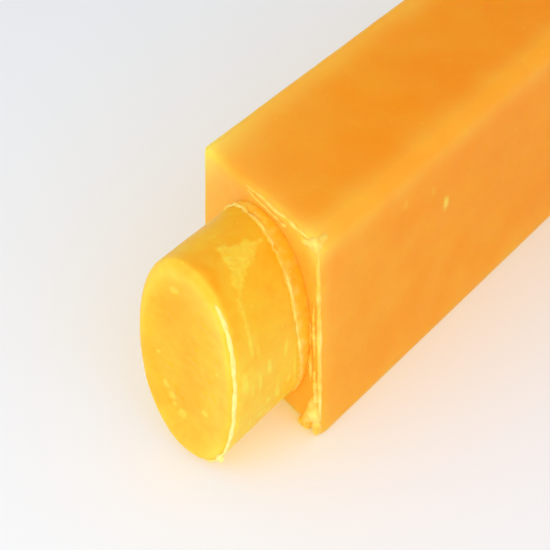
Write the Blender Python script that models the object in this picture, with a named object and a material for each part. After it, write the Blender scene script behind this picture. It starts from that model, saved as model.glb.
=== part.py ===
"""A cast amber bar with an oval stub plugged into its near end.

Metres, +Z up. The block lies along Y on the plane Z = 0, with its underside's middle at the
origin; the stub stands out of the end at -Y. That end is cut a little out of square.
"""
import math

import bmesh
import bpy
from mathutils import Vector

MM = 0.001

# Block
TOP_WIDTH = 28 * MM
SIDE_SPREAD = 2 * MM  # how much further out each side is at the base, as mould draft
HEIGHT = 42 * MM
LENGTH = 120 * MM
END_SKEW = math.tan(math.radians(12))  # how far the near end runs back per unit of X
LONG_EDGE_RADIUS = 2.5 * MM
END_EDGE_RADIUS = 0.7 * MM

# Stub: an oval that is narrower and taller at its outer end
STUB_REACH = 18.2 * MM
STUB_OFFSET = 1.4 * MM  # towards +X from the block's middle
STUB_SIDE_TAPER = 1.2 * MM
STUB_HEIGHT_FLARE = 1.7 * MM
STUB_TIP_LEAN = 0.055  # how far the tip's top stands back per unit of height
OVAL_POWER = 2.3
OVAL_SEGMENTS = 72

# Tenon and socket
TENON_SHOULDER = 2.6 * MM
TENON_DEPTH = 16 * MM
GAP = 0.3 * MM

# Set beads and drips, and the end face left bare round the root flash for them
END_SIDE_LAND = 1.7 * MM
END_TOP_LAND = 1.5 * MM
ROOT_FLASH_WIDTH = 0.7 * MM
ROOT_FLASH_REACH = 2.6 * MM
RIM_FLASH_WIDTH = 1.7 * MM
RIM_FLASH_REACH = 0.8 * MM
EDGE_BEAD_RADIUS = 0.4 * MM
EDGE_BEAD_INSET = 0.65 * MM
END_BEAD_LENGTH = 13 * MM
CORNER_DRIP_RADIUS = 1.0 * MM
FOOT_DRIP_INSET = 3.0 * MM
FOOT_DRIP_RADIUS = 1.2 * MM
FOOT_DRIP_TOP_RADIUS = 0.5 * MM
FOOT_DRIP_HEIGHT = 8 * MM

NEAR_END = -LENGTH / 2
STUB_CENTRE_Z = HEIGHT / 2
SIDE_DRAFT = SIDE_SPREAD / HEIGHT
ROOT_WIDTH = TOP_WIDTH - 2 * (GAP + ROOT_FLASH_WIDTH + END_SIDE_LAND)
ROOT_HEIGHT = HEIGHT - 2 * (GAP + ROOT_FLASH_WIDTH + END_TOP_LAND)
TIP_WIDTH = ROOT_WIDTH - 2 * STUB_SIDE_TAPER
TIP_HEIGHT = ROOT_HEIGHT + 2 * STUB_HEIGHT_FLARE
TENON_WIDTH = ROOT_WIDTH - 2 * TENON_SHOULDER
TENON_HEIGHT = ROOT_HEIGHT - 2 * TENON_SHOULDER


def end_plane(x, front=0.0):
    """Y of the near end's face at x, or of the plane that lies this far in front of it."""
    return NEAR_END - END_SKEW * x - front * math.hypot(1, END_SKEW)


def tip_plane(z, front=0.0):
    return NEAR_END - STUB_REACH + STUB_TIP_LEAN * (z - STUB_CENTRE_Z) - front


def side_x(z):
    """X of the block's +X side at height z."""
    return TOP_WIDTH / 2 + SIDE_DRAFT * (HEIGHT - z)


def make_material(name, colour, roughness):
    material = bpy.data.materials.new(name)
    material.use_nodes = True
    shader = material.node_tree.nodes["Principled BSDF"]
    shader.inputs["Base Color"].default_value = (*colour, 1)
    shader.inputs["Roughness"].default_value = roughness
    shader.inputs["Metallic"].default_value = 0
    material.diffuse_color = (*colour, 1)
    return material


def make_object(name, bm, material):
    bmesh.ops.recalc_face_normals(bm, faces=bm.faces)
    mesh = bpy.data.meshes.new(name)
    bm.to_mesh(mesh)
    bm.free()
    piece = bpy.data.objects.new(name, mesh)
    bpy.context.scene.collection.objects.link(piece)
    if material:
        mesh.materials.append(material)
    return piece


def oval_ring(bm, width, height, plane, outset=0.0):
    """A ring of vertices on an oval, moved outward by outset, with Y read from plane."""
    ring = []
    for step in range(OVAL_SEGMENTS):
        angle = math.tau * step / OVAL_SEGMENTS
        across = math.copysign(abs(math.cos(angle)) ** (2 / OVAL_POWER), math.cos(angle))
        up = math.copysign(abs(math.sin(angle)) ** (2 / OVAL_POWER), math.sin(angle))
        half_width, half_height = width / 2, height / 2
        normal = Vector((math.copysign(abs(across) ** (OVAL_POWER - 1), across) / half_width,
                         math.copysign(abs(up) ** (OVAL_POWER - 1), up) / half_height)).normalized()
        x = STUB_OFFSET + half_width * across + outset * normal.x
        z = STUB_CENTRE_Z + half_height * up + outset * normal.y
        ring.append(bm.verts.new((x, plane(x, z), z)))
    return ring


def bridge(bm, rings, closed=False):
    """Quads between each ring and the next, and from the last to the first if closed."""
    following = rings[1:] + rings[:1] if closed else rings[1:]
    for first, second in zip(rings, following):
        for i in range(OVAL_SEGMENTS):
            bm.faces.new((first[i - 1], first[i], second[i], second[i - 1]))


def build_socket_cutter():
    bm = bmesh.new()
    mouth = oval_ring(bm, TENON_WIDTH, TENON_HEIGHT, lambda x, z: NEAR_END - TOP_WIDTH, GAP)
    floor = oval_ring(bm, TENON_WIDTH, TENON_HEIGHT, lambda x, z: NEAR_END + TENON_DEPTH + GAP, GAP)
    bridge(bm, [mouth, floor])
    bm.faces.new(mouth)
    bm.faces.new(floor)
    cutter = make_object("socket_cutter", bm, None)
    cutter.hide_render = True
    cutter.display_type = "WIRE"
    return cutter


def build_bar_block(material):
    bm = bmesh.new()
    bmesh.ops.create_cube(bm, size=2)
    for vert in bm.verts:
        far, top = vert.co.y > 0, vert.co.z > 0
        z = HEIGHT if top else 0
        x = math.copysign(side_x(z), vert.co.x)
        vert.co = (x, LENGTH / 2 if far else end_plane(x), z)
    long_edges = [e for e in bm.edges if abs(e.verts[0].co.y - e.verts[1].co.y) > LENGTH / 2]
    bmesh.ops.bevel(bm, geom=long_edges, offset=LONG_EDGE_RADIUS, segments=5, profile=0.5,
                    affect="EDGES", clamp_overlap=True)
    bmesh.ops.recalc_face_normals(bm, faces=bm.faces)
    ends = [f for f in bm.faces if abs(f.normal.y) > 0.9]
    rim = {e for face in ends for e in face.edges}
    bmesh.ops.bevel(bm, geom=list(rim), offset=END_EDGE_RADIUS, segments=3, profile=0.5,
                    affect="EDGES", clamp_overlap=True)
    block = make_object("bar_block", bm, material)
    socket = block.modifiers.new("socket", "BOOLEAN")
    socket.operation = "DIFFERENCE"
    socket.solver = "EXACT"
    socket.object = build_socket_cutter()
    return block


def build_stub_plug(material):
    """Outer end, oval side, shoulder on the block's end face and the tenon in its socket."""
    bm = bmesh.new()
    rings = [
        oval_ring(bm, TIP_WIDTH, TIP_HEIGHT, lambda x, z: tip_plane(z)),
        oval_ring(bm, ROOT_WIDTH, ROOT_HEIGHT, lambda x, z: end_plane(x, GAP)),
        oval_ring(bm, TENON_WIDTH, TENON_HEIGHT, lambda x, z: end_plane(x, GAP)),
        oval_ring(bm, TENON_WIDTH, TENON_HEIGHT, lambda x, z: NEAR_END + TENON_DEPTH),
    ]
    bridge(bm, rings)
    bm.faces.new(rings[0])
    bm.faces.new(rings[-1])
    return make_object("stub_plug", bm, material)


def build_root_flash(material):
    """A ring that fills the corner between the stub's root and the block's end face."""
    bm = bmesh.new()
    outer = GAP + ROOT_FLASH_WIDTH
    front_gap = GAP + STUB_HEIGHT_FLARE * ROOT_FLASH_REACH / STUB_REACH
    crest = front_gap + ROOT_FLASH_WIDTH / 4
    profile = [(GAP, GAP), (front_gap, ROOT_FLASH_REACH), (crest, ROOT_FLASH_REACH), (outer, GAP)]
    rings = [oval_ring(bm, ROOT_WIDTH, ROOT_HEIGHT,
                       lambda x, z, front=front: end_plane(x, front), outset)
             for outset, front in profile]
    bridge(bm, rings, closed=True)
    return make_object("root_flash", bm, material)


def build_rim_flash(material):
    """A bead round the rim of the stub's outer end, standing in front of its face."""
    bm = bmesh.new()
    crest = GAP + RIM_FLASH_REACH
    profile = [(-RIM_FLASH_WIDTH, GAP), (0.0, GAP), (-RIM_FLASH_WIDTH / 4, crest),
               (-RIM_FLASH_WIDTH / 2, crest)]
    rings = [oval_ring(bm, TIP_WIDTH, TIP_HEIGHT,
                       lambda x, z, front=front: tip_plane(z, front), outset)
             for outset, front in profile]
    bridge(bm, rings, closed=True)
    return make_object("rim_flash", bm, material)


def build_bead(name, path, radius, material):
    """A round bead along a path of points, thinned at both ends."""
    curve = bpy.data.curves.new(name, "CURVE")
    curve.dimensions = "3D"
    curve.bevel_depth = radius
    curve.bevel_resolution = 2
    curve.use_fill_caps = True
    spline = curve.splines.new("POLY")
    spline.points.add(len(path) - 1)
    for index, place in enumerate(path):
        share = index / (len(path) - 1)
        spline.points[index].co = (*place, 1)
        spline.points[index].radius = 0.45 + 0.55 * math.sin(math.pi * share) ** 0.5
    curve.materials.append(material)
    bead = bpy.data.objects.new(name, curve)
    bpy.context.scene.collection.objects.link(bead)
    return bead


def bead_place(x, z):
    """Centre of a bead that lies on the end face at x and z."""
    return Vector((x, end_plane(x, GAP + EDGE_BEAD_RADIUS), z))


def end_bead_path(start, steps=9):
    """Points along the end face, under its top edge, from start towards -X."""
    xs = [start - END_BEAD_LENGTH * step / (steps - 1) for step in range(steps)]
    return [bead_place(x, HEIGHT - EDGE_BEAD_INSET) for x in xs]


def side_bead_path(top, bottom, steps=15):
    """Points down the end face, beside its +X edge."""
    zs = [top + (bottom - top) * step / (steps - 1) for step in range(steps)]
    return [bead_place(side_x(z) - EDGE_BEAD_INSET, z) for z in zs]


def build_corner_drip(material):
    """A flattened blob on the end face at its top +X corner."""
    bm = bmesh.new()
    bmesh.ops.create_icosphere(bm, subdivisions=2, radius=CORNER_DRIP_RADIUS)
    x = side_x(HEIGHT) - CORNER_DRIP_RADIUS
    half_depth = CORNER_DRIP_RADIUS / 2
    place = Vector((x, end_plane(x, GAP + half_depth), HEIGHT - CORNER_DRIP_RADIUS))
    for vert in bm.verts:
        vert.co.y = vert.co.y / 2 - END_SKEW * vert.co.x
        vert.co += place
    return make_object("corner_drip", bm, material)


def build_foot_drip(material):
    """A run that came down the end face near its +X side and stands on the ground."""
    bm = bmesh.new()
    bmesh.ops.create_cone(bm, cap_ends=True, segments=20, depth=FOOT_DRIP_HEIGHT,
                          radius1=FOOT_DRIP_RADIUS, radius2=FOOT_DRIP_TOP_RADIUS)
    x = side_x(0) - FOOT_DRIP_INSET
    for vert in bm.verts:
        at_top = vert.co.z > 0
        vert.co.z += FOOT_DRIP_HEIGHT / 2
        vert.co.x += x
        vert.co.y += end_plane(x, GAP + (FOOT_DRIP_TOP_RADIUS if at_top else FOOT_DRIP_RADIUS))
        vert.co.y -= END_SKEW * (vert.co.x - x)
    return make_object("foot_drip", bm, material)


def main():
    for old in list(bpy.data.objects):
        bpy.data.objects.remove(old, do_unlink=True)
    amber = make_material("amber", (0.90, 0.32, 0.03), 0.35)
    yellow_amber = make_material("yellow_amber", (0.95, 0.50, 0.05), 0.32)
    pale_amber = make_material("pale_amber", (0.98, 0.66, 0.16), 0.4)

    build_bar_block(amber)
    build_stub_plug(yellow_amber)
    build_root_flash(pale_amber)
    build_rim_flash(pale_amber)
    past_corner = 2 * CORNER_DRIP_RADIUS + EDGE_BEAD_RADIUS + GAP
    build_bead("end_edge_flash", end_bead_path(side_x(HEIGHT) - past_corner),
               EDGE_BEAD_RADIUS, pale_amber)
    build_bead("side_edge_flash",
               side_bead_path(HEIGHT - past_corner, FOOT_DRIP_HEIGHT + EDGE_BEAD_RADIUS + GAP),
               EDGE_BEAD_RADIUS, pale_amber)
    build_corner_drip(pale_amber)
    build_foot_drip(pale_amber)


main()
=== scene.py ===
import math

import bpy
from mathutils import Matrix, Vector, noise


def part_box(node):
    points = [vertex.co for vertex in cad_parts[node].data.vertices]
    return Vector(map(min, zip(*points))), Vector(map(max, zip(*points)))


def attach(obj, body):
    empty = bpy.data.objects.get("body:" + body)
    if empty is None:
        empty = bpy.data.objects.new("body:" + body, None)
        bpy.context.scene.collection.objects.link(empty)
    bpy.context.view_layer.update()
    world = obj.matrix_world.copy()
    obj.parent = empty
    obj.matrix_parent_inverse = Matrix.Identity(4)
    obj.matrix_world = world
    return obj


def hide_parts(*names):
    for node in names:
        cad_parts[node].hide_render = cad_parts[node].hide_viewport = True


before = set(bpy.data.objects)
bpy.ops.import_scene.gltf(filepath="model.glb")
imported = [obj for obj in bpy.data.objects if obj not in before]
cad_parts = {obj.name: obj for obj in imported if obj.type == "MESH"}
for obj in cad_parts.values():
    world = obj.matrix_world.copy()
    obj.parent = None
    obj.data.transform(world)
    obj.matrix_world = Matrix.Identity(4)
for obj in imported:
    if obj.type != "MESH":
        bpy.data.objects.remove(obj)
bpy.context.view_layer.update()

mm = 0.001
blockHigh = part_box("bar_block")[1]
height = blockHigh.z
farEnd = blockHigh.y
nearEnd = -farEnd  # the middle of the near end's face
endSlope = math.tan(math.radians(12))  # the near end is cut out of square
stubMiddle = (1.4 * mm, height / 2)  # X and Z


def deselect():
    if bpy.context.object and bpy.context.object.mode != "OBJECT":
        bpy.ops.object.mode_set(mode="OBJECT")
    bpy.ops.object.select_all(action="DESELECT")


def onlySelect(piece):
    deselect()
    piece.select_set(True)
    bpy.context.view_layer.objects.active = piece


def pickFaces(piece, test):  # leaves edit mode on with just these faces selected
    onlySelect(piece)
    bpy.ops.object.mode_set(mode="EDIT")
    bpy.ops.mesh.select_mode(type="FACE")
    bpy.ops.mesh.select_all(action="DESELECT")
    bpy.ops.object.mode_set(mode="OBJECT")
    for face in piece.data.polygons:
        face.select = test(face.center, face.normal)
    bpy.ops.object.mode_set(mode="EDIT")


def pickEdges(piece, test):  # the same for edges, tested by their middle and direction
    onlySelect(piece)
    bpy.ops.object.mode_set(mode="EDIT")
    bpy.ops.mesh.select_mode(type="EDGE")
    bpy.ops.mesh.select_all(action="DESELECT")
    bpy.ops.object.mode_set(mode="OBJECT")
    verts = piece.data.vertices
    for edge in piece.data.edges:
        a, b = (verts[i].co for i in edge.vertices)
        edge.select = test((a + b) / 2, (b - a).normalized())
    bpy.ops.object.mode_set(mode="EDIT")


def settle(piece):  # puts the piece's place into its mesh
    onlySelect(piece)
    bpy.ops.object.transform_apply(location=True, rotation=True, scale=True)


def useModifier(piece, kind, **values):
    onlySelect(piece)
    modifier = piece.modifiers.new(kind.lower(), kind)
    for key, value in values.items():
        setattr(modifier, key, value)
    bpy.ops.object.modifier_apply(modifier=modifier.name)


def remesh(piece, voxel):
    useModifier(piece, "REMESH", mode="VOXEL", voxel_size=voxel, use_smooth_shade=True)


def smoothAll(piece, repeat):
    useModifier(piece, "SMOOTH", factor=0.5, iterations=repeat)


def pushOut(piece, amount):  # moves each vertex along its normal by amount(place, normal)
    moves = [(v, v.normal * amount(v.co, v.normal)) for v in piece.data.vertices]
    for vert, move in moves:
        vert.co += move
    piece.data.update()


def paintGlowAndMarks(piece, amount):  # how much paler the wax is painted at each vertex, 0 to 1: painted glow and highlights, and pale marks
    layer = piece.data.attributes.new("pale", "FLOAT", "POINT")
    for vert, value in zip(piece.data.vertices, layer.data):
        value.value = min(max(amount(vert.co), 0), 1)


def smoothStep(low, high, value):  # 0 at low, 1 at high; low may be the larger of the two
    share = min(max((value - low) / (high - low), 0), 1)
    return share * share * (3 - 2 * share)


def bell(distance, width):  # 1 at no distance, falling away to both sides
    return math.exp(-(distance / width) * (distance / width))


def endY(x, front=0.0):  # Y of the near end's face at x, or of a plane in front of it
    return nearEnd - endSlope * x - front * math.hypot(1, endSlope)


def sideX(z):  # X of the block's near side at height z
    return block["topWidth"] / 2 + block["sideSpread"] * (1 - z / height)


def fade(distance, reach):  # 1 at no distance, dying away over reach
    return math.exp(-max(distance, 0) / reach)


def wobble(place, size, seed):  # smooth noise between about -1 and 1
    return noise.noise(Vector(place) / size + Vector((seed, seed * 1.7, -seed)))


block = {
    "topWidth": 28 * mm,
    "sideSpread": 2 * mm,
    "ridgeRound": 2.6 * mm,  # the near top edge
    "leftRound": 1.0 * mm,
    "footRound": 0.35 * mm,
    "endRound": 1.0 * mm,
    "voxel": 0.6 * mm,
    "wave": 0.10 * mm,  # how far the faces swell and sink
    "flecks": (  # how far along, height, size and strength of the pale marks on the near side
        (29.9 * mm, 28.0 * mm, 0.7 * mm, 0.60),
        (18.7 * mm, 35.0 * mm, 0.5 * mm, 0.15),
        (26.2 * mm, 33.0 * mm, 0.5 * mm, 0.15),
    ),
}


def makeBlock():
    baseWidth = block["topWidth"] + 2 * block["sideSpread"]
    deselect()
    bpy.ops.mesh.primitive_cube_add(size=1, location=(0, 0, height / 2),
                                    scale=(baseWidth, farEnd - nearEnd, height))
    piece = bpy.context.object
    piece.name = "barBlock"
    settle(piece)
    pickFaces(piece, lambda at, normal: normal.z > 0.9)
    bpy.ops.transform.resize(value=(block["topWidth"] / baseWidth, 1, 1))
    bpy.ops.object.mode_set(mode="OBJECT")
    for vert in piece.data.vertices:  # the slanting cut
        if vert.co.y < 0:
            vert.co.y = endY(vert.co.x)
    longEdges = (
        (block["ridgeRound"], 8, lambda at: at.x > 0 and at.z > height / 2),
        (block["leftRound"], 4, lambda at: at.x < 0 and at.z > height / 2),
        (block["footRound"], 3, lambda at: at.z < height / 2),
    )
    for size, segments, test in longEdges:
        pickEdges(piece, lambda at, along: abs(along.y) > 0.95 and test(at))
        bpy.ops.mesh.bevel(offset=size, segments=segments)
    pickEdges(piece, lambda at, along: abs(along.y) < 0.5 and abs(at.y) > farEnd - 6 * mm)
    bpy.ops.mesh.bevel(offset=block["endRound"], segments=4)
    bpy.ops.object.mode_set(mode="OBJECT")
    remesh(piece, block["voxel"])
    smoothAll(piece, repeat=3)
    pushOut(piece, blockWave)
    paintGlowAndMarks(piece, blockGlowAndFlecks)
    return piece


def blockWave(at, normal):
    slow = wobble(at, 14 * mm, 3) * block["wave"]
    fine = wobble(at, 3 * mm, 8) * block["wave"] * 0.25
    grounded = smoothStep(0, 3 * mm, at.z)
    return (slow + fine - block["wave"] * 0.6) * grounded


blockGlow = {  # painted glow and highlights: how much paler the wax is painted by each part of the block, and how far that reaches
    "ridge": (0.17, 3.0 * mm),
    "ridgeByEnd": (0.10, 15 * mm),
    "nearEnd": (0.03, 30 * mm),
    "foot": (0.18, 3 * mm),
    "side": (0.02, 1 * mm),
    "sideByEnd": (0.09, 25 * mm),
    "farLeftCorner": (0.32, 8 * mm),
    "nearRightCorner": (0.40, 2 * mm),
    "beadedEdge": (0.30, 1.6 * mm),
    "leftSide": (0.17, 6 * mm),
    "endFace": (0.16, 1.5 * mm),
    "endFaceRight": (0.13, 1.5 * mm),
    "farEdges": (0.20, 2.5 * mm),
}


def glowBy(name, distance):
    strength, reach = blockGlow[name]
    return strength * fade(distance, reach)


def fleckPale(at):
    pale = 0
    for along, up, size, strength in block["flecks"]:
        if at.x > 0:
            far = math.hypot(at.y - nearEnd - along, (at.z - up) / 2) / size
            pale += strength * (1 - smoothStep(0.5, 1.3, far))
    return pale


def blockGlowAndFlecks(at):  # painted glow and highlights where light would show through the edges, the near end and its corners, with pale flecks and cloudy tone
    half = sideX(at.z)
    side = half - abs(at.x)
    top = height - at.z
    back = max(at.y - endY(at.x), 0)
    farLeft = Vector((-half, endY(-half), height))
    nearRight = Vector((half, endY(half), height))

    ridge, ridgeWidth = blockGlow["ridge"]
    pale = (ridge + glowBy("ridgeByEnd", back)) * bell(math.hypot(side, top) - 1.5 * mm, ridgeWidth)
    pale += glowBy("nearEnd", back) + glowBy("foot", at.z)
    flat, flatReach = blockGlow["side"]
    pale += fade(side, flatReach) * (1 - fade(top, 4 * mm)) * (flat + glowBy("sideByEnd", back))
    pale += glowBy("farLeftCorner", (at - farLeft).length)
    pale += glowBy("nearRightCorner", (at - nearRight).length)
    pale += glowBy("beadedEdge", math.hypot(back, top)) * smoothStep(-6 * mm, 0, at.x)
    pale += glowBy("leftSide", half + at.x) * fade(back, 40 * mm)
    pale += glowBy("endFace", back) + glowBy("endFaceRight", back) * smoothStep(-6 * mm, 2 * mm, at.x)
    pale += glowBy("farEdges", math.hypot(farEnd - at.y, min(side, top)))
    clouds = 0.06 * wobble(at, 7 * mm, 90) + 0.04 * wobble(at, 2 * mm, 91) * fade(back, 20 * mm)
    return pale + fleckPale(at) + clouds


stub = {
    "reach": 19.2 * mm,
    "depth": 6 * mm,  # how far it runs on into the block
    "tipWidth": 20.2 * mm,
    "tipHeight": 40.4 * mm,
    "rootWidth": 22.6 * mm,
    "rootHeight": 37.0 * mm,
    "power": 2.25,  # 2 is a plain oval, more is squarer
    "lean": 0.055,  # how far the outer end stands back per unit of height
    "footShift": 1.2 * mm,  # how far the outer end's lowest point sits to the right
    "dish": 0.7 * mm,
    "edgeRound": 1.6 * mm,
    "voxel": 0.3 * mm,
    "endShare": 0.045,  # the outer end's look runs this far down the side
    "blotches": (  # x and z from the stub's middle, and size, of the pale spots on its outer end
        (-2.2 * mm, 14.1 * mm, 0.9 * mm), (-4.4 * mm, -7.6 * mm, 0.8 * mm),
        (-3.2 * mm, -9.4 * mm, 0.9 * mm), (-0.9 * mm, -12.0 * mm, 1.1 * mm),
        (3.7 * mm, -8.6 * mm, 0.7 * mm), (-5.9 * mm, -1.4 * mm, 0.5 * mm),
        (6.2 * mm, 1.9 * mm, 0.4 * mm), (-2.6 * mm, -10.9 * mm, 0.5 * mm),
    ),
}


def ovalPoint(angle, width, tall):  # X and Z of a point on the oval round the stub's axis
    power = 2 / stub["power"]
    across = math.copysign(abs(math.cos(angle)) ** power, math.cos(angle))
    up = math.copysign(abs(math.sin(angle)) ** power, math.sin(angle))
    return (stubMiddle[0] + width / 2 * across, stubMiddle[1] + tall / 2 * up)


def tipY(z):  # Y of the outer end at height z
    return nearEnd - stub["reach"] + stub["lean"] * (z - stubMiddle[1])


def footShift(z):  # the outer end's sideways shift at height z
    return stub["footShift"] * max(2 * (stubMiddle[1] - z) / stub["tipHeight"], 0) ** 2


def stubPoint(angle, share, size=1.0):  # share 0 at the tip, 1 at the block's end face
    width = stub["tipWidth"] + (stub["rootWidth"] - stub["tipWidth"]) * share
    tall = stub["tipHeight"] + (stub["rootHeight"] - stub["tipHeight"]) * share
    x, z = ovalPoint(angle, width, tall)
    x = stubMiddle[0] + (x - stubMiddle[0]) * size
    z = stubMiddle[1] + (z - stubMiddle[1]) * size
    x += footShift(z) * (1 - min(share, 1))
    tip = tipY(z)
    return Vector((x, tip + (endY(x) - tip) * share, z))


def makeStub():
    deselect()
    bpy.ops.mesh.primitive_cylinder_add(vertices=128, radius=1, depth=1, end_fill_type="NGON")
    piece = bpy.context.object
    piece.name = "ovalStub"
    settle(piece)
    pickEdges(piece, lambda at, along: abs(along.z) > 0.9)
    bpy.ops.mesh.subdivide(number_cuts=24)
    bpy.ops.object.mode_set(mode="OBJECT")
    rootShare = 1 + stub["depth"] / stub["reach"]
    for vert in piece.data.vertices:
        share = (vert.co.z + 0.5) * rootShare
        vert.co = stubPoint(math.atan2(vert.co.y, vert.co.x), share)
    onlySelect(piece)
    bpy.ops.object.mode_set(mode="EDIT")
    bpy.ops.mesh.select_all(action="SELECT")
    bpy.ops.mesh.normals_make_consistent(inside=False)
    pickFaces(piece, lambda at, normal: normal.y < -0.9)
    bpy.ops.mesh.bevel(offset=stub["edgeRound"], segments=5)
    bpy.ops.object.mode_set(mode="OBJECT")
    remesh(piece, stub["voxel"])
    smoothAll(piece, repeat=3)
    pushOut(piece, stubSurface)
    paintGlowAndMarks(piece, stubGlowAndMarks)
    return piece


def tipRadius(at):  # 1 on the outer end's edge, 0 at its middle
    across = abs(at.x - footShift(at.z) - stubMiddle[0]) / (stub["tipWidth"] / 2)
    up = abs(at.z - stubMiddle[1]) / (stub["tipHeight"] / 2)
    return (across ** stub["power"] + up ** stub["power"]) ** (1 / stub["power"])


def stubSurface(at, normal):
    move = wobble(at, 9 * mm, 21) * 0.10 * mm + wobble(at, 2.2 * mm, 5) * 0.03 * mm
    if normal.y < -0.6:  # the outer end is dished, with soft lumps in it
        inner = 1 - smoothStep(0.55, 0.97, tipRadius(at))
        move -= stub["dish"] * inner
        move += max(wobble(at, 1.6 * mm, 40) - 0.35, 0) * 0.7 * mm * inner
    else:
        move += grainPatch(at) * (0.06 + 0.12 * wobble(at, 0.45 * mm, 60)) * mm
    return move


crust = {  # the crusted patch on the stub's upper side: corners by angle and share, and its tail
    "corners": ((88, 0.37), (73, 0.75), (52, 0.24)),
    "tail": ((52, 0.24), (34, 0.24), (20, 0.25)),
    "tailWidth": 0.5 * mm,
}


def unrolled(angle, share):  # a place on the stub's side laid flat, 0.2 mm to a degree
    return Vector((angle * 0.2 * mm, share * stub["reach"]))


def grainPatch(at):
    angle = math.degrees(math.atan2((at.z - stubMiddle[1]) / stub["rootHeight"],
                                    (at.x - stubMiddle[0]) / stub["rootWidth"]))
    here = unrolled(angle, stubShare(at))
    corners = [unrolled(*corner) for corner in crust["corners"]]
    inside = 1
    for first, second in zip(corners, corners[1:] + corners[:1]):
        along = (second - first).normalized()
        inside = min(inside, along.x * (here - first).y - along.y * (here - first).x)
    rag = 0.9 * mm * wobble(at, 1.5 * mm, 77) + 0.5 * mm * wobble(at, 0.6 * mm, 78)
    patch = smoothStep(-0.4 * mm, 0.5 * mm, inside + rag)
    ends = [unrolled(*place) for place in crust["tail"]]
    far = min(distanceTo(here, a, b) for a, b in zip(ends, ends[1:]))
    tail = 1 - smoothStep(0.5, 1.1, far / crust["tailWidth"] + 0.6 * wobble(at, 1.2 * mm, 79))
    return max(patch, 0.7 * tail)


def distanceTo(at, a, b):  # from a place to the line between two others
    share = min(max((at - a).dot(b - a) / (b - a).length_squared, 0), 1)
    return (at - a.lerp(b, share)).length


def stubShare(at):  # 0 at the tip, 1 at the block's end face
    tip = tipY(at.z)
    return (at.y - tip) / (endY(at.x) - tip)


def outerEndGlowAndBlotches(at, across, up):  # painted glow, palest at its edge, its right and its foot, with a painted highlight along its upper rim and pale blotches
    radius = tipRadius(at)
    pale = 0.22 + 0.20 * smoothStep(0.72, 1.0, radius)
    pale += 0.26 * smoothStep(-1 * mm, 7 * mm, across)
    pale += 0.15 * (1 - smoothStep(-18 * mm, -8 * mm, up))
    # painted highlight along the upper rim
    pale += 0.22 * bell(radius - 0.88, 0.06) * smoothStep(-2 * mm, 8 * mm, up)
    for x, z, size in stub["blotches"]:
        far = math.hypot(across - x, up - z) / size + 0.5 * wobble(at, 0.8 * mm, 63)
        pale += 0.55 * (1 - smoothStep(0.5, 1.2, far))
    return pale


def stubSideGlowAndMarks(at, share, up):  # painted glow, yellower low down, with a painted highlight on the rim and painted shade just behind it on the upper side, then pale streaks and the crust
    low = 1 - smoothStep(-2 * mm, 18 * mm, up)
    high = 1 - low
    pale = 0.07 + 0.12 * fade(share, 0.25) + low * (0.42 - 0.16 * share)
    # painted highlight along the rim
    pale += (0.35 + 0.25 * high) * fade(share, 0.07)
    # painted shade in the groove just behind the rim, on the upper side
    pale -= 0.20 * high * smoothStep(0.03, 0.07, share) * (1 - smoothStep(0.1, 0.2, share))
    pale += 0.48 * grainPatch(at) * (0.9 + 0.7 * wobble(at, 0.45 * mm, 64))
    streak = wobble((at.x * 2.2, at.y * 1.2, at.z * 0.22), 1.4 * mm, 65)  # long up and down
    return pale + 0.4 * smoothStep(0.30, 0.55, streak) * low


# painted glow and highlights on the stub, with its pale marks
def stubGlowAndMarks(at):
    share = stubShare(at)
    across, up = at.x - stubMiddle[0], at.z - stubMiddle[1]
    ragged = 0.14 * wobble(at, 4 * mm, 61) + 0.12 * wobble(at, 1.3 * mm, 62)
    if share < stub["endShare"]:
        return outerEndGlowAndBlotches(at, across, up) + ragged
    return stubSideGlowAndMarks(at, share, up) + ragged


def inMm(values):
    return tuple(value * mm for value in values)


def tubeAlong(path, radius):  # a closed tube; path and radius take 0 to 1
    deselect()
    bpy.ops.mesh.primitive_cylinder_add(vertices=12, radius=1, depth=1, end_fill_type="TRIFAN")
    piece = bpy.context.object
    settle(piece)
    pickEdges(piece, lambda at, along: abs(along.z) > 0.9)
    bpy.ops.mesh.subdivide(number_cuts=90)
    bpy.ops.object.mode_set(mode="OBJECT")
    for vert in piece.data.vertices:
        share = vert.co.z + 0.5
        along = (path(min(share + 0.01, 1)) - path(max(share - 0.01, 0))).normalized()
        side = along.cross(Vector((0, 1, 0))).normalized()
        front = side.cross(along)
        vert.co = path(share) + (side * vert.co.x + front * vert.co.y) * radius(share)
    return piece


def joinAs(name, parts, voxel, smooth=2):  # runs the parts together into one body
    deselect()
    for part in parts:
        part.select_set(True)
    bpy.context.view_layer.objects.active = parts[0]
    bpy.ops.object.join()
    piece = bpy.context.object
    piece.name = name
    remesh(piece, voxel)
    smoothAll(piece, repeat=smooth)
    return piece


def blob(at, size):  # a lump, size along X, Y and Z
    deselect()
    bpy.ops.mesh.primitive_ico_sphere_add(subdivisions=3, radius=1, location=at, scale=size)
    piece = bpy.context.object
    settle(piece)
    return piece


def roundEnds(share):  # 1 along most of a strand, narrowing to almost nothing at its ends
    return max(1 - abs(2 * share - 1) ** 4, 0.0004) ** 0.5


def ringAlong(place, radius, sides=12):  # a torus laid round the stub
    middleRadius = 2
    deselect()
    bpy.ops.mesh.primitive_torus_add(major_segments=260, minor_segments=sides,
                                     major_radius=middleRadius, minor_radius=1)
    piece = bpy.context.object
    settle(piece)
    for vert in piece.data.vertices:
        angle = math.atan2(vert.co.y, vert.co.x)
        out = math.hypot(vert.co.x, vert.co.y) - middleRadius
        centre = place(angle)
        outward = Vector((centre.x - stubMiddle[0], 0, centre.z - stubMiddle[1])).normalized()
        across, front = radius(angle)
        vert.co = centre + outward * out * across + Vector((0, vert.co.z * front, 0))
    return piece


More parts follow.
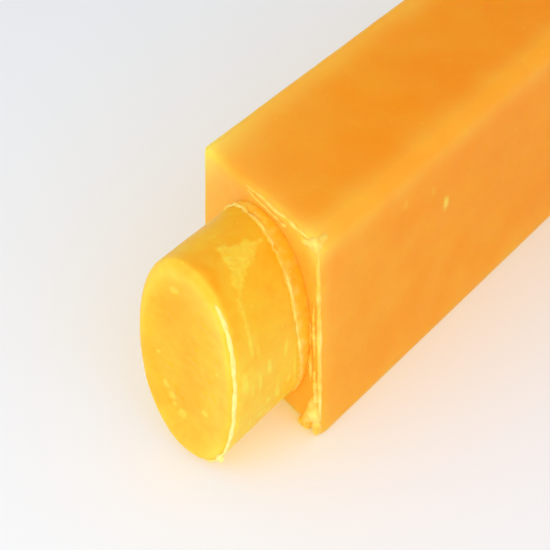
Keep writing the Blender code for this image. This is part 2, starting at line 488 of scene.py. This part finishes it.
rimFlash = {
    "radius": 0.31 * mm,
    "voxel": 0.15 * mm,
    "lumpAngle": -53,  # the lump at its foot, in degrees from +X
    "lumpSize": (0.7, 0.6, 1.0),  # in mm
}


def rimStrength(angle):  # the ridge stands up at +X and sinks into the rounded edge elsewhere
    return smoothStep(0.25, 0.75, math.cos(angle + 0.25))


def rimPlace(angle):
    strong = rimStrength(angle)
    at = stubPoint(angle, 0.045 - 0.025 * strong, 0.945 + 0.04 * strong)
    return at + Vector((wobble(at, 2.5 * mm, 4), 0, wobble(at, 2.5 * mm, 9))) * 0.15 * mm * strong


def rimSize(angle):  # outwards from the stub, and along it
    at = stubPoint(angle, 0)
    strong = rimStrength(angle)
    rag = 1 + strong * (0.40 * wobble(at, 1.8 * mm, 14) + 0.25 * wobble(at, 0.7 * mm, 15))
    size = rimFlash["radius"] * (1.25 - 0.35 * strong) * rag
    return size, size * (1.1 + 0.4 * strong)


def makeRimFlash():
    ring = ringAlong(rimPlace, rimSize)
    lumpPlace = stubPoint(math.radians(rimFlash["lumpAngle"]), 0.03, 0.99)
    lump = blob(lumpPlace, inMm(rimFlash["lumpSize"]))
    piece = joinAs("rimBead", [ring, lump], rimFlash["voxel"])
    # painted glow, paler towards +X, with ragged tone
    paintGlowAndMarks(piece, lambda at: 0.30 + 0.6 * smoothStep(0, 9 * mm, at.x)
          + 0.25 * wobble(at, 1.2 * mm, 16))
    return piece


rootFlash = {
    "least": 1.2 * mm,  # how far its crest stands out at the least
    "more": 2.3 * mm,  # how much further at the most
    "towards": 38,  # where that is, in degrees from +X
    "collar": 0.32 * mm,
    "crest": 0.24 * mm,
    "voxel": 0.15 * mm,
}


def rootReach(angle):  # how far the crest stands out from the block
    facing = max(math.cos(angle - math.radians(rootFlash["towards"])), 0)
    return rootFlash["least"] + rootFlash["more"] * facing ** 1.5


def rootLip(angle):  # the ragged crest
    at = stubPoint(angle, 1 - rootReach(angle) / stub["reach"])
    coarse = Vector((wobble(at, 2.2 * mm, 51), 1.3 * wobble(at, 1.5 * mm, 56),
                     wobble(at, 2.2 * mm, 52)))
    return at + coarse * 0.35 * mm + Vector((0, wobble(at, 0.7 * mm, 59), 0)) * 0.2 * mm


def makeRootFlash():
    def collarPlace(angle):
        return stubPoint(angle, 1 - rootReach(angle) / stub["reach"] * 0.42, 0.99)

    def collarSize(angle):
        return rootFlash["collar"], rootReach(angle) * 0.56

    def lipSize(angle):
        rag = 1 + 0.7 * wobble(rootLip(angle), 1.3 * mm, 53)
        rag += 0.4 * wobble(rootLip(angle), 0.5 * mm, 54)
        size = rootFlash["crest"] * rag
        return size, size * 1.5

    # painted glow along the thin crest, with pale streaks
    def pale(at):
        angle = math.atan2(at.z - stubMiddle[1], at.x - stubMiddle[0])
        front = (1 - stubShare(at)) * stub["reach"]
        crest = fade(abs(front - rootReach(angle)), 0.3 * mm)
        streaks = max(wobble(at, 1.2 * mm, 57), 0) * 0.3
        return crest * (0.55 + 0.6 * wobble(at, 2.5 * mm, 55)) + 0.04 + streaks

    collar = ringAlong(collarPlace, collarSize, sides=16)
    lip = ringAlong(rootLip, lipSize)
    piece = joinAs("rootRing", [collar, lip], rootFlash["voxel"], smooth=1)
    pushOut(piece, lambda at, normal: 0.06 * mm * wobble(at, 1.8 * mm, 58))
    paintGlowAndMarks(piece, pale)
    return piece


strands = {
    "radius": 0.26 * mm,
    "voxel": 0.12 * mm,
    "sway": 0.18,  # how far it wanders, in mm
}


def beadAt(x, z, front):  # a place on the block's end face, or in front of it
    return Vector((x, endY(x, front), z))


def strand(points, thickness, seed, rag=0.4):  # a thin ragged run through (x, z, front) points
    count = len(points) - 1

    def path(share):
        step = min(int(share * count), count - 1)
        part = share * count - step
        a, b = beadAt(*points[step]), beadAt(*points[step + 1])
        at = a.lerp(b, part)
        sway = Vector((wobble(at, 2.5 * mm, seed), wobble(at, 2 * mm, seed + 1),
                       wobble(at, 2.5 * mm, seed + 2)))
        return at + sway * strands["sway"] * mm

    def size(share):
        bumps = 1 + rag * wobble((share * 14, seed, 0), 1, seed)
        bumps += 0.5 * rag * wobble((share * 45, seed, 3), 1, seed)
        return thickness * strands["radius"] * roundEnds(share) * bumps

    return tubeAlong(path, size)


endBeads = {  # places are x, drop from the top face and front of the end face, in mm
    "upper": ((-3.2, 0.38, -0.22), (1, 0.38, -0.22), (5, 0.38, -0.22), (9, 0.38, -0.22),
              (12.6, 0.38, -0.22)),
    "lower": ((-2.6, 0.70, -0.02), (0.5, 1.10, 0.02), (3.5, 1.45, 0.04), (6.3, 1.65, 0.04)),
    "knob": (6.2, 1.62, 0),
    "knobSize": (0.6, 0.3, 0.3),
}


def underTop(place):  # the place as a strand takes it
    x, drop, front = inMm(place)
    return x, height - drop, front


def makeEndBeads():
    upper = strand([underTop(place) for place in endBeads["upper"]], 1, 3)
    lower = strand([underTop(place) for place in endBeads["lower"]], 0.85, 9)
    knob = blob(beadAt(*underTop(endBeads["knob"])), inMm(endBeads["knobSize"]))
    piece = joinAs("endEdgeBeads", [upper, lower, knob], strands["voxel"])
    # painted highlight along the top edge, stronger towards +X, with ragged tone
    paintGlowAndMarks(piece, lambda at: 0.28 + 0.02 * at.x / mm + 0.4 * wobble(at, 1.5 * mm, 17))
    return piece


sideBeads = {
    # top, bottom, inset and front of each in mm, then its points, thickness, seed and raggedness
    "strands": (
        (40.2, 3.0, 0.36, -0.34, 12, 1.4, 2, 0.3),  # the one on the edge itself
        (29, 18, 1.3, 0.0, 6, 1.0, 5, 0.6),
        (25, 11.5, 2.2, 0.0, 6, 1.1, 8, 0.7),
        (21, 14, 3.0, 0.1, 6, 1.0, 11, 0.7),
        (15, 6.5, 1.3, 0.0, 6, 1.3, 14, 0.5),
    ),
}


def makeSideBeads():
    parts = []
    for top, bottom, inset, front, points, thickness, seed, rag in sideBeads["strands"]:
        heights = [(top + (bottom - top) * step / (points - 1)) * mm for step in range(points)]
        places = [(sideX(z) - inset * mm, z, front * mm) for z in heights]
        parts.append(strand(places, thickness, seed, rag))
    piece = joinAs("sideEdgeBeads", parts, strands["voxel"])
    # ragged tone, with painted glow towards the bottom
    paintGlowAndMarks(piece, lambda at: 0.36 + 0.4 * wobble(at, 2 * mm, 18)
          + 0.25 * (1 - smoothStep(6 * mm, 14 * mm, at.z)))
    return piece


cornerDrip = {
    "lumps": (  # inset from the side, front of the end, drop from the top, and size, in mm
        ((1.4, -0.9, 1.05), (1.2, 0.9, 1.1)), ((0.7, -0.5, 1.2), (0.5, 0.5, 0.9)),
        ((2.2, -0.4, 0.8), (1.4, 0.5, 0.5)), ((1.0, -1.9, 0.75), (0.6, 1.5, 0.55)),
        ((0.5, -0.6, 2.3), (0.4, 0.4, 0.9)),
    ),
    "paintedGlint": (0.9, -0.2, 0.5),  # its painted highlight, where a glint would be
    "rough": 0.14 * mm,
}


def makeCornerDrip():
    x = sideX(height)

    def placeOf(lump):
        inset, front, drop = inMm(lump)
        return Vector((x - inset, endY(x, front), height - drop))

    parts = [blob(placeOf(lump), inMm(size)) for lump, size in cornerDrip["lumps"]]
    piece = joinAs("cornerDrip", parts, strands["voxel"], smooth=3)
    pushOut(piece, lambda at, normal: cornerDrip["rough"] * wobble(at, 0.9 * mm, 33))
    paintedGlint = placeOf(cornerDrip["paintedGlint"])
    # painted highlight round that place, with ragged tone
    paintGlowAndMarks(piece, lambda at: 0.26 + 0.6 * fade((at - paintedGlint).length, 0.9 * mm)
          + 0.20 * wobble(at, 0.8 * mm, 19))
    return piece


footDrip = {
    "inset": 2.0 * mm,
    "lumps": (  # x from there, height, front of the end, and size, in mm
        ((0, 5.8, -0.1), (1.1, 0.65, 3.2)), ((0.2, 4.7, 0.25), (1.4, 0.85, 1.9)),
        ((-1.1, 2.2, 0.3), (1.1, 0.9, 2.1)), ((-2.2, 0.9, 0.4), (0.9, 0.8, 0.85)),
        ((1.0, 1.9, 0.1), (0.85, 0.75, 1.85)),
    ),
    "patch": (0.3, 5.2, 1.0),  # its palest place: a pale patch with a painted highlight
    "rough": 0.16 * mm,
}


def makeFootDrip():
    def placeOf(lump):
        x, z, front = inMm(lump)
        return beadAt(sideX(0) - footDrip["inset"] + x, z, front)

    parts = [blob(placeOf(lump), inMm(size)) for lump, size in footDrip["lumps"]]
    piece = joinAs("footDrip", parts, strands["voxel"], smooth=6)
    pushOut(piece, lambda at, normal: footDrip["rough"] * wobble(at, 1.0 * mm, 34))
    patch = placeOf(footDrip["patch"])
    # the pale patch and its painted highlight, painted glow where it meets the floor, and ragged tone
    paintGlowAndMarks(piece, lambda at: 0.15 + 0.9 * fade((at - patch).length, 2.2 * mm)
          + 0.3 * smoothStep(1.2 * mm, 0.2 * mm, at.z) + 0.35 * wobble(at, 0.9 * mm, 24))
    return piece


def makeCloudGroup():  # cloudy wax with specks, a patchy sheen and a fine grain
    group = bpy.data.node_groups.new("cloudyWax", "ShaderNodeTree")
    face = group.interface
    for name, kind in (("Light", "NodeSocketColor"), ("Deep", "NodeSocketColor"),
                       ("Pale", "NodeSocketColor"), ("Paleness", "NodeSocketFloat"),
                       ("Cloud Scale", "NodeSocketFloat"), ("Speck", "NodeSocketFloat")):
        face.new_socket(name, in_out="INPUT", socket_type=kind)
    for name, kind in (("Color", "NodeSocketColor"), ("Roughness", "NodeSocketFloat"),
                       ("Height", "NodeSocketFloat")):
        face.new_socket(name, in_out="OUTPUT", socket_type=kind)
    nodes, links = group.nodes, group.links
    start = nodes.new("NodeGroupInput")
    end = nodes.new("NodeGroupOutput")
    place = nodes.new("ShaderNodeTexCoord")

    def noiseAt(scale, detail, roughness=0.5):
        cloud = nodes.new("ShaderNodeTexNoise")
        cloud.inputs["Detail"].default_value = detail
        cloud.inputs["Roughness"].default_value = roughness
        if isinstance(scale, float):
            cloud.inputs["Scale"].default_value = scale
        else:
            links.new(scale, cloud.inputs["Scale"])
        links.new(place.outputs["Object"], cloud.inputs["Vector"])
        return cloud.outputs["Fac"]

    def ramp(value, low, high):
        fit = nodes.new("ShaderNodeMapRange")
        fit.interpolation_type = "SMOOTHSTEP"
        fit.inputs["From Min"].default_value = low
        fit.inputs["From Max"].default_value = high
        links.new(value, fit.inputs["Value"])
        return fit.outputs["Result"]

    def mixColours(factor, first, second):
        mix = nodes.new("ShaderNodeMix")
        mix.data_type = "RGBA"
        links.new(factor, mix.inputs["Factor"])
        links.new(first, mix.inputs["A"])
        links.new(second, mix.inputs["B"])
        return mix.outputs["Result"]

    clouds = ramp(noiseAt(start.outputs["Cloud Scale"], 6.0, 0.62), 0.32, 0.68)
    cloudy = mixColours(clouds, start.outputs["Deep"], start.outputs["Light"])
    # mixes in the pale colour by the painted glow and highlights and the pale marks
    colourWithGlowAndMarks = mixColours(start.outputs["Paleness"], cloudy, start.outputs["Pale"])
    specks = nodes.new("ShaderNodeMath")
    specks.operation = "MULTIPLY"
    links.new(ramp(noiseAt(900.0, 1.0), 0.70, 0.78), specks.inputs[0])
    links.new(start.outputs["Speck"], specks.inputs[1])
    links.new(mixColours(specks.outputs["Value"], colourWithGlowAndMarks, start.outputs["Pale"]), end.inputs["Color"])
    sheen = nodes.new("ShaderNodeMapRange")
    sheen.inputs["To Min"].default_value = 0.30
    sheen.inputs["To Max"].default_value = 0.48
    links.new(noiseAt(260.0, 4.0, 0.6), sheen.inputs["Value"])
    links.new(sheen.outputs["Result"], end.inputs["Roughness"])
    links.new(noiseAt(1400.0, 3.0, 0.6), end.inputs["Height"])
    return group


waxes = {
    "amberWax": {
        "light": (0.945, 0.308, 0.004), "deep": (0.925, 0.276, 0.003), "pale": (1.0, 0.78, 0.125),
        "cloudScale": 45.0, "speck": 0.08, "grain": 0.25,
        "scatter": (1.0, 0.42, 0.10), "scatterScale": 3.5 * mm,
    },
    # a yellower copy of the amber wax for the stub: painted glow of light passing through it
    "yellowWax": {
        "light": (1.0, 0.46, 0.012), "deep": (0.99, 0.37, 0.006), "pale": (1.0, 0.72, 0.08),
        "cloudScale": 90.0, "speck": 0.4, "grain": 0.3,
        "scatter": (0.75, 0.5, 0.15), "scatterScale": 1.4 * mm,
    },
    # a paler copy of the amber wax for the rim ridge: painted glow of light through the thin ridge
    "paleWax": {
        "light": (0.97, 0.45, 0.020), "deep": (0.95, 0.38, 0.012), "pale": (1.0, 0.82, 0.30),
        "cloudScale": 300.0, "speck": 0.4, "grain": 0.3,
        "scatter": (1.0, 0.7, 0.35), "scatterScale": 0.8 * mm,
    },
    # a paler copy of the amber wax for the flash and drips: painted glow of light showing through
    # thin wax
    "flashGlowWax": {
        "light": (1.0, 0.50, 0.016), "deep": (0.98, 0.42, 0.010), "pale": (1.0, 0.82, 0.26),
        "cloudScale": 300.0, "speck": 0.3, "grain": 0.3,
        "scatter": (1.0, 0.7, 0.35), "scatterScale": 0.8 * mm,
    },
}
shadowTint = (1.0, 0.96, 0.34)  # what the lamps' light keeps of its colour on its way through wax


def makeWax(name, look, cloudGroup):
    material = bpy.data.materials.new(name)
    material.use_nodes = True
    nodes, links = material.node_tree.nodes, material.node_tree.links
    shader = nodes["Principled BSDF"]
    cloud = nodes.new("ShaderNodeGroup")
    cloud.node_tree = cloudGroup
    cloud.inputs["Light"].default_value = (*look["light"], 1)
    cloud.inputs["Deep"].default_value = (*look["deep"], 1)
    cloud.inputs["Pale"].default_value = (*look["pale"], 1)
    cloud.inputs["Cloud Scale"].default_value = look["cloudScale"]
    cloud.inputs["Speck"].default_value = look["speck"]
    # reads each piece's painted glow and highlights, and its pale marks
    glowMarkAttribute = nodes.new("ShaderNodeAttribute")
    glowMarkAttribute.attribute_name = "pale"
    links.new(glowMarkAttribute.outputs["Fac"], cloud.inputs["Paleness"])
    links.new(cloud.outputs["Color"], shader.inputs["Base Color"])
    links.new(cloud.outputs["Roughness"], shader.inputs["Roughness"])
    grain = nodes.new("ShaderNodeBump")
    grain.inputs["Strength"].default_value = look["grain"]
    grain.inputs["Distance"].default_value = 0.05 * mm
    links.new(cloud.outputs["Height"], grain.inputs["Height"])
    links.new(grain.outputs["Normal"], shader.inputs["Normal"])
    shader.inputs["Subsurface Weight"].default_value = 1.0
    shader.inputs["Subsurface Radius"].default_value = look["scatter"]
    shader.inputs["Subsurface Scale"].default_value = look["scatterScale"]
    shader.inputs["IOR"].default_value = 1.42
    shader.inputs["Specular IOR Level"].default_value = 0.12
    lampsThrough = nodes.new("ShaderNodeBsdfTransparent")
    lampsThrough.inputs["Color"].default_value = (*shadowTint, 1)
    path = nodes.new("ShaderNodeLightPath")
    mix = nodes.new("ShaderNodeMixShader")
    links.new(path.outputs["Is Shadow Ray"], mix.inputs["Fac"])
    links.new(shader.outputs["BSDF"], mix.inputs[1])
    links.new(lampsThrough.outputs["BSDF"], mix.inputs[2])
    links.new(mix.outputs["Shader"], nodes["Material Output"].inputs["Surface"])
    return material


cloudyWax = makeCloudGroup()
materials = {name: makeWax(name, look, cloudyWax) for name, look in waxes.items()}


def finishPiece(piece, node, wax):
    piece.data.materials.clear()
    piece.data.materials.append(materials[wax])
    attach(piece, "root")
    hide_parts(node)


finishPiece(makeBlock(), "bar_block", "amberWax")
print("block made")
finishPiece(makeStub(), "stub_plug", "yellowWax")
print("stub made")
finishPiece(makeRimFlash(), "rim_flash", "paleWax")
finishPiece(makeRootFlash(), "root_flash", "flashGlowWax")
print("rings made")
finishPiece(makeEndBeads(), "end_edge_flash", "flashGlowWax")
finishPiece(makeSideBeads(), "side_edge_flash", "flashGlowWax")
finishPiece(makeCornerDrip(), "corner_drip", "flashGlowWax")
finishPiece(makeFootDrip(), "foot_drip", "flashGlowWax")
print("beads and drips made")

stage = {
    "azimuth": 40.0,
    "elevation": 45.0,
    "distance": 235 * mm,
    "lens": 96.4,
    "aimRight": 2.6 * mm,  # how far the camera aims beside the near end's middle
    "aimUp": 2.8 * mm,
    "floorColour": (0.87, 0.875, 0.90),
    "skyColour": (0.90, 0.95, 1.0),
    "skyStrength": 0.75,
}
lamps = {
    "key": {"at": (-0.10, -0.38, 0.28), "size": 0.32, "power": 0.60, "colour": (1, 0.99, 0.98)},
    "fill": {"at": (0.34, -0.18, 0.26), "size": 0.4, "power": 0.70, "colour": (1, 0.94, 0.80)},
}


def makeCamera():
    turn, rise = math.radians(stage["azimuth"]), math.radians(stage["elevation"])
    back = Vector((math.sin(turn) * math.cos(rise), -math.cos(turn) * math.cos(rise),
                   math.sin(rise)))
    right = Vector((math.cos(turn), math.sin(turn), 0))
    aim = Vector((0, nearEnd, height / 2)) + right * stage["aimRight"]
    aim += back.cross(right) * stage["aimUp"]
    camera = bpy.data.objects.new("camera", bpy.data.cameras.new("camera"))
    camera.data.lens = stage["lens"]
    camera.data.clip_start = 0.01
    camera.rotation_mode = "QUATERNION"
    camera.location = aim + back * stage["distance"]
    camera.rotation_quaternion = (-back).to_track_quat("-Z", "Y")
    bpy.context.scene.collection.objects.link(camera)
    bpy.context.scene.camera = camera


def makeLamp(name):  # turned towards the foot of the near end
    values = lamps[name]
    lamp = bpy.data.objects.new(name, bpy.data.lights.new(name, "AREA"))
    lamp.data.size = values["size"]
    lamp.data.energy = values["power"]
    lamp.data.color = values["colour"]
    lamp.location = values["at"]
    lamp.rotation_mode = "QUATERNION"
    towards = Vector((0, nearEnd, 0)) - Vector(values["at"])
    lamp.rotation_quaternion = towards.to_track_quat("-Z", "Y")
    bpy.context.scene.collection.objects.link(lamp)


def makeFloor():
    deselect()
    bpy.ops.mesh.primitive_plane_add(size=6, location=(0, 0, -0.05 * mm))
    floor = bpy.context.object
    floor.name = "floor"
    material = bpy.data.materials.new("paleFloor")
    material.use_nodes = True
    shader = material.node_tree.nodes["Principled BSDF"]
    shader.inputs["Base Color"].default_value = (*stage["floorColour"], 1)
    shader.inputs["Roughness"].default_value = 0.8
    floor.data.materials.append(material)


def makeSky():
    world = bpy.data.worlds.new("studio")
    world.use_nodes = True
    background = world.node_tree.nodes["Background"]
    background.inputs["Color"].default_value = (*stage["skyColour"], 1)
    background.inputs["Strength"].default_value = stage["skyStrength"]
    bpy.context.scene.world = world


makeCamera()
makeFloor()
for lampName in lamps:
    makeLamp(lampName)
makeSky()
bpy.context.scene.view_settings.view_transform = "Standard"  # keeps the wax's strong colour
print("stage set")
